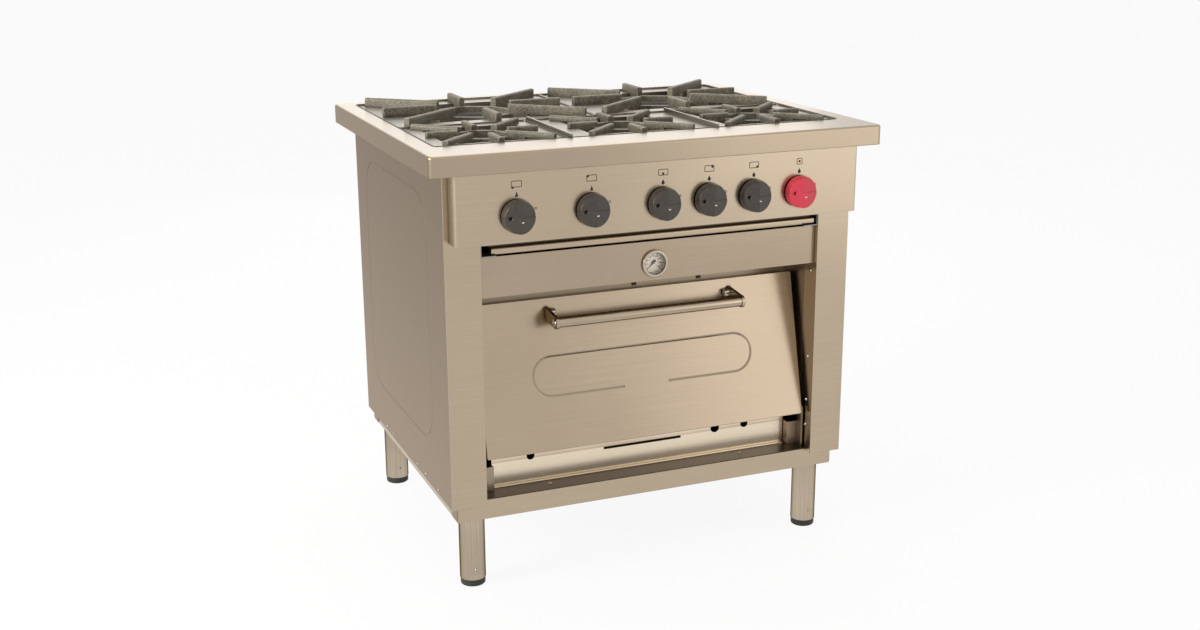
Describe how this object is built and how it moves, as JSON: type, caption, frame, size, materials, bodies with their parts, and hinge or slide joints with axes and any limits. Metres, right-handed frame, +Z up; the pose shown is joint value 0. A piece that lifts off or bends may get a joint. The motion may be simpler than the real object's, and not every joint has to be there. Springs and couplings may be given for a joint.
{
  "type": "gas range",
  "caption": "Free-standing stainless gas range with cast pan supports over open burners, push-and-turn taps, a pull-out drip tray and a leaning drop-down oven door.",
  "frame": {"origin": "on the floor, under the middle of the box round the whole range", "axes": "+X to the range's right as seen from the front, +Y to the back, +Z up"},
  "size_m": [0.9, 0.7394, 0.865],
  "materials": {
    "stainless": "fine brushed stainless sheet",
    "mild_steel": "grey painted steel",
    "bright_steel": "bright plated steel",
    "pipe_steel": "galvanised pipe",
    "brass": "machined brass",
    "grate_iron": "sand-cast iron with a dull coat",
    "burner_iron": "black cast iron",
    "knob_black": "moulded phenolic",
    "knob_red": "moulded phenolic",
    "foot_rubber": "moulded black",
    "dial_white": "printed white",
    "needle_black": "black lacquer",
    "glass": "clear glass",
    "enamel": "dark vitreous enamel",
    "mineral_wool": "matted fibre"
  },
  "bodies": {
    "range_body": {"base_frame": "stainless", "leg_tubes": "stainless", "side_panels": "stainless", "back_panel": "stainless", "floor_pan": "stainless", "front_posts": "stainless", "control_panel": "stainless", "hob_rim": "stainless", "spill_trays": "stainless", "deck_bearers": "mild_steel", "burner_bodies": "burner_iron", "burner_caps": "burner_iron", "gas_manifold": "pipe_steel", "gas_taps": "brass", "feed_pipes": "brass", "tray_runners": "mild_steel", "thermometer_case": "bright_steel", "thermometer_dial": "dial_white", "thermometer_glass": "glass", "thermometer_fascia": "stainless", "oven_floor": "enamel", "oven_ceiling": "enamel", "oven_side_walls": "enamel", "oven_back_wall": "enamel", "oven_insulation": "mineral_wool", "oven_burner": "burner_iron", "rack_rails": "bright_steel", "oven_mouth_frame": "stainless", "burner_fascia": "stainless", "hinge_brackets": "stainless", "fasteners": "bright_steel"},
    "front_left_foot": {"front_left_foot": "foot_rubber"},
    "front_right_foot": {"front_right_foot": "foot_rubber"},
    "back_left_foot": {"back_left_foot": "foot_rubber"},
    "back_right_foot": {"back_right_foot": "foot_rubber"},
    "spindle_1": {"spindle_1": "bright_steel"},
    "knob_1": {"knob_1": "knob_black"},
    "spindle_2": {"spindle_2": "bright_steel"},
    "knob_2": {"knob_2": "knob_black"},
    "spindle_3": {"spindle_3": "bright_steel"},
    "knob_3": {"knob_3": "knob_black"},
    "spindle_4": {"spindle_4": "bright_steel"},
    "knob_4": {"knob_4": "knob_black"},
    "spindle_5": {"spindle_5": "bright_steel"},
    "knob_5": {"knob_5": "knob_black"},
    "spindle_6": {"spindle_6": "bright_steel"},
    "knob_6": {"knob_6": "knob_red"},
    "front_left_grate": {"front_left_grate": "grate_iron"},
    "back_left_grate": {"back_left_grate": "grate_iron"},
    "front_middle_grate": {"front_middle_grate": "grate_iron"},
    "back_right_grate": {"back_right_grate": "grate_iron"},
    "front_right_grate": {"front_right_grate": "grate_iron"},
    "drip_tray": {"drip_tray": "stainless"},
    "thermometer_needle": {"thermometer_needle": "needle_black"},
    "oven_rack": {"oven_rack": "bright_steel"},
    "oven_door": {"door_skin": "stainless", "door_liner": "stainless", "door_insulation": "mineral_wool", "hinge_pins": "bright_steel", "door_handle": "stainless"}
  },
  "joints": [
    {"name": "front_left_foot_screw", "type": "slide", "parent": "range_body", "child": "front_left_foot", "axis": [0, 0, -1], "range_m": [0, 0.025]},
    {"name": "front_right_foot_screw", "type": "slide", "parent": "range_body", "child": "front_right_foot", "axis": [0, 0, -1], "range_m": [0, 0.025]},
    {"name": "back_left_foot_screw", "type": "slide", "parent": "range_body", "child": "back_left_foot", "axis": [0, 0, -1], "range_m": [0, 0.025]},
    {"name": "back_right_foot_screw", "type": "slide", "parent": "range_body", "child": "back_right_foot", "axis": [0, 0, -1], "range_m": [0, 0.025]},
    {"name": "tap_1_turn", "type": "hinge", "parent": "range_body", "child": "spindle_1", "pos_m": [-0.29007, -0.344, 0.733], "axis": [0, -1, 0], "range_deg": [0, 180]},
    {"name": "knob_1_push", "type": "slide", "parent": "spindle_1", "child": "knob_1", "axis": [0, 1, 0], "range_m": [0, 0.003], "stiffness_N_per_m": 900, "springref_m": -0.004},
    {"name": "tap_2_turn", "type": "hinge", "parent": "range_body", "child": "spindle_2", "pos_m": [-0.14786, -0.344, 0.733], "axis": [0, -1, 0], "range_deg": [0, 180]},
    {"name": "knob_2_push", "type": "slide", "parent": "spindle_2", "child": "knob_2", "axis": [0, 1, 0], "range_m": [0, 0.003], "stiffness_N_per_m": 900, "springref_m": -0.004},
    {"name": "tap_3_turn", "type": "hinge", "parent": "range_body", "child": "spindle_3", "pos_m": [-0.00727, -0.344, 0.733], "axis": [0, -1, 0], "range_deg": [0, 180]},
    {"name": "knob_3_push", "type": "slide", "parent": "spindle_3", "child": "knob_3", "axis": [0, 1, 0], "range_m": [0, 0.003], "stiffness_N_per_m": 900, "springref_m": -0.004},
    {"name": "tap_4_turn", "type": "hinge", "parent": "range_body", "child": "spindle_4", "pos_m": [0.08646, -0.344, 0.733], "axis": [0, -1, 0], "range_deg": [0, 180]},
    {"name": "knob_4_push", "type": "slide", "parent": "spindle_4", "child": "knob_4", "axis": [0, 1, 0], "range_m": [0, 0.003], "stiffness_N_per_m": 900, "springref_m": -0.004},
    {"name": "tap_5_turn", "type": "hinge", "parent": "range_body", "child": "spindle_5", "pos_m": [0.17938, -0.344, 0.733], "axis": [0, -1, 0], "range_deg": [0, 180]},
    {"name": "knob_5_push", "type": "slide", "parent": "spindle_5", "child": "knob_5", "axis": [0, 1, 0], "range_m": [0, 0.003], "stiffness_N_per_m": 900, "springref_m": -0.004},
    {"name": "tap_6_turn", "type": "hinge", "parent": "range_body", "child": "spindle_6", "pos_m": [0.27634, -0.344, 0.733], "axis": [0, -1, 0], "range_deg": [0, 180]},
    {"name": "knob_6_push", "type": "slide", "parent": "spindle_6", "child": "knob_6", "axis": [0, 1, 0], "range_m": [0, 0.003], "stiffness_N_per_m": 900, "springref_m": -0.004},
    {"name": "front_left_grate_lift", "type": "slide", "parent": "range_body", "child": "front_left_grate", "axis": [0, 0, 1], "range_m": [0, 0.1]},
    {"name": "back_left_grate_lift", "type": "slide", "parent": "range_body", "child": "back_left_grate", "axis": [0, 0, 1], "range_m": [0, 0.1]},
    {"name": "front_middle_grate_lift", "type": "slide", "parent": "range_body", "child": "front_middle_grate", "axis": [0, 0, 1], "range_m": [0, 0.1]},
    {"name": "back_right_grate_lift", "type": "slide", "parent": "range_body", "child": "back_right_grate", "axis": [0, 0, 1], "range_m": [0, 0.1]},
    {"name": "front_right_grate_lift", "type": "slide", "parent": "range_body", "child": "front_right_grate", "axis": [0, 0, 1], "range_m": [0, 0.1]},
    {"name": "drip_tray_slide", "type": "slide", "parent": "range_body", "child": "drip_tray", "axis": [0, -1, 0], "range_m": [0, 0.42]},
    {"name": "thermometer_needle_turn", "type": "hinge", "parent": "range_body", "child": "thermometer_needle", "pos_m": [0, -0.2885, 0.607], "axis": [0, 1, 0], "range_deg": [0, 270], "stiffness_Nm_per_rad": 0.0005},
    {"name": "oven_rack_slide", "type": "slide", "parent": "range_body", "child": "oven_rack", "axis": [0, -1, 0], "range_m": [0, 0.03]},
    {"name": "oven_door_hinge", "type": "hinge", "parent": "range_body", "child": "oven_door", "pos_m": [0, -0.26671, 0.26135], "axis": [1, 0, 0], "range_deg": [0, 103]}
  ]
}
